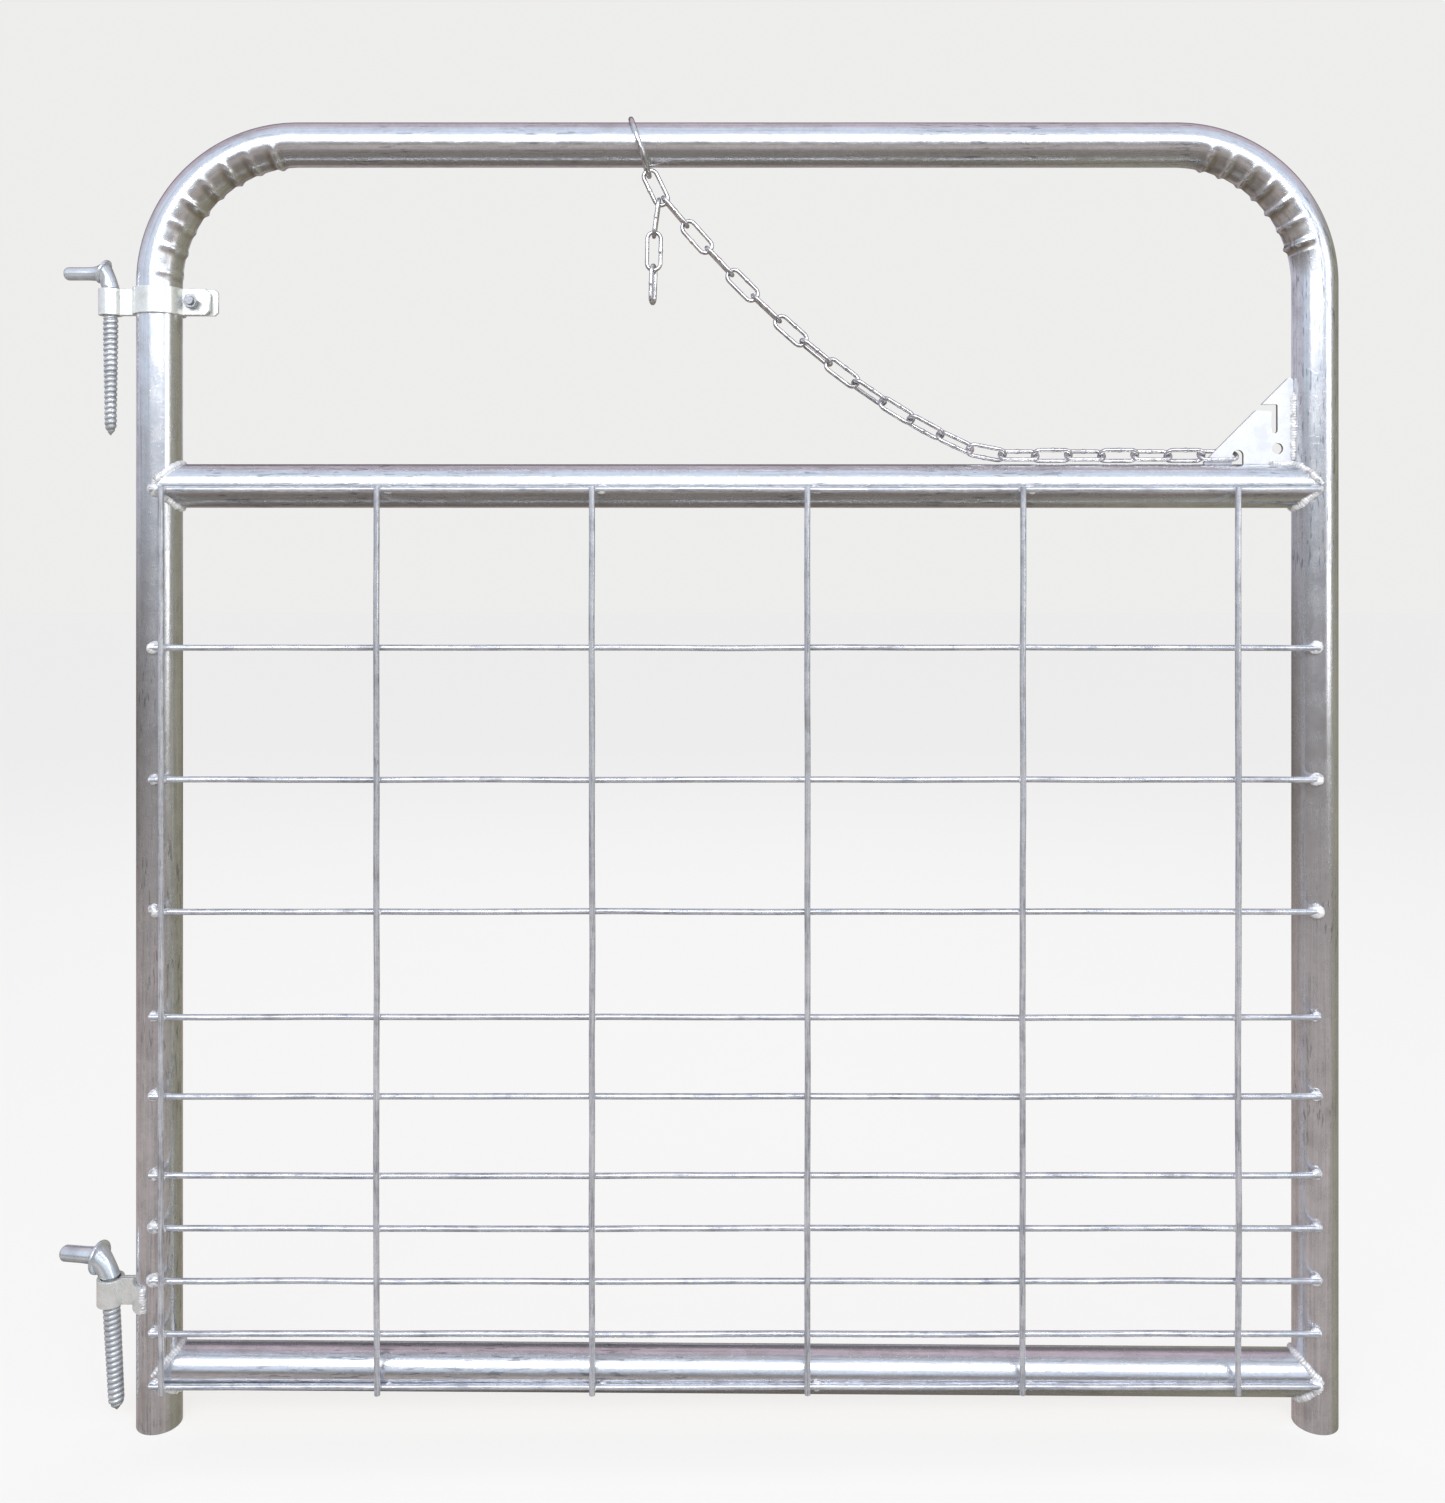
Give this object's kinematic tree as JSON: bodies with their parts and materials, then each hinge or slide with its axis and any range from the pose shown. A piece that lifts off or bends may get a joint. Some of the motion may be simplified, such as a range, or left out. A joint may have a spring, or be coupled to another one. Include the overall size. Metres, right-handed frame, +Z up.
{
  "type": "garden gate",
  "caption": "Bowed tubular steel garden gate with graduated welded wire infill, two hinge eyes holding their screw hooks, and a latch plate with a hanging chain.",
  "frame": {"origin": "on the hinge line, the upright axis of both hinge eyes, at the level of the frame's open lower ends", "axes": "+X from the hinge line to the latch stile, +Y away from the side that carries the wire infill, +Z up along the hinge line"},
  "size_m": [1.2359, 0.0603, 1.2572],
  "materials": {
    "galvanised_tube": "hot-dip galvanised steel tube, satin, faint spangle and grey streaks",
    "galvanised_wire": "galvanised drawn wire, satin",
    "galvanised_plate": "galvanised flat plate, pale satin",
    "galvanised_strap": "galvanised bent strap, pale satin",
    "zinc_plated_fastener": "zinc plated, semi-bright",
    "zinc_plated_hook": "forged and zinc plated, semi-bright",
    "zinc_plated_chain": "zinc plated welded chain",
    "weld_metal": "weld beads and tacks under zinc spray, matt and uneven"
  },
  "bodies": {
    "gate": {"bow_frame": "galvanised_tube", "mid_rail": "galvanised_tube", "bottom_rail": "galvanised_tube", "line_wire_01": "galvanised_wire", "line_wire_02": "galvanised_wire", "line_wire_03": "galvanised_wire", "line_wire_04": "galvanised_wire", "line_wire_05": "galvanised_wire", "line_wire_06": "galvanised_wire", "line_wire_07": "galvanised_wire", "line_wire_08": "galvanised_wire", "line_wire_09": "galvanised_wire", "line_wire_10": "galvanised_wire", "line_wire_11": "galvanised_wire", "stay_wire_1": "galvanised_wire", "stay_wire_2": "galvanised_wire", "stay_wire_3": "galvanised_wire", "stay_wire_4": "galvanised_wire", "stay_wire_5": "galvanised_wire", "stay_wire_6": "galvanised_wire", "latch_plate": "galvanised_plate", "upper_hinge_strap": "galvanised_strap", "lower_hinge_eye": "galvanised_strap", "clamp_bolt": "zinc_plated_fastener", "clamp_nut": "zinc_plated_fastener", "chain_tie_ring": "zinc_plated_chain", "plate_link": "zinc_plated_chain", "frame_welds": "weld_metal", "mesh_tack_welds": "weld_metal", "latch_plate_weld": "weld_metal", "lower_hinge_weld": "weld_metal"},
    "chain": {"chain_link_01": "zinc_plated_chain", "chain_link_02": "zinc_plated_chain", "chain_link_03": "zinc_plated_chain", "chain_link_04": "zinc_plated_chain", "chain_link_05": "zinc_plated_chain", "chain_link_06": "zinc_plated_chain", "chain_link_07": "zinc_plated_chain", "chain_link_08": "zinc_plated_chain", "chain_link_09": "zinc_plated_chain", "chain_link_10": "zinc_plated_chain", "chain_link_11": "zinc_plated_chain", "chain_link_12": "zinc_plated_chain", "chain_link_13": "zinc_plated_chain", "chain_link_14": "zinc_plated_chain", "chain_link_15": "zinc_plated_chain", "chain_link_16": "zinc_plated_chain", "chain_link_17": "zinc_plated_chain", "chain_link_18": "zinc_plated_chain", "chain_link_19": "zinc_plated_chain", "chain_link_20": "zinc_plated_chain"},
    "tail_1": {"tail_link_1": "zinc_plated_chain"},
    "tail_2": {"tail_link_2": "zinc_plated_chain"},
    "tail_3": {"tail_link_3": "zinc_plated_chain"},
    "upper_hook": {"upper_screw_hook": "zinc_plated_hook"},
    "lower_hook": {"lower_screw_hook": "zinc_plated_hook"}
  },
  "joints": [
    {"name": "upper_hook_swivel", "type": "hinge", "parent": "gate", "child": "upper_hook", "pos_m": [0, 0, 1.079], "axis": [0, 0, 1], "range_deg": [-138, 138]},
    {"name": "lower_hook_swivel", "type": "hinge", "parent": "gate", "child": "lower_hook", "pos_m": [0, 0, 0.127], "axis": [-0.0523, 0, 0.9986], "range_deg": [-120, 138]},
    {"name": "chain_swing", "type": "hinge", "parent": "gate", "child": "chain", "pos_m": [0.51835, 0, 1.20407], "axis": [0.8904, 0, -0.4552], "range_deg": [-25, 25]},
    {"name": "tail_1_swing", "type": "hinge", "parent": "chain", "child": "tail_1", "pos_m": [0.52857, 0, 1.17612], "axis": [1, 0, 0], "range_deg": [-30, 30]},
    {"name": "tail_2_swing", "type": "hinge", "parent": "tail_1", "child": "tail_2", "pos_m": [0.52411, 0, 1.14443], "axis": [0, 1, 0], "range_deg": [-15, 30]},
    {"name": "tail_3_swing", "type": "hinge", "parent": "tail_2", "child": "tail_3", "pos_m": [0.52355, 0, 1.11243], "axis": [1, 0, 0], "range_deg": [-18, 18]}
  ]
}
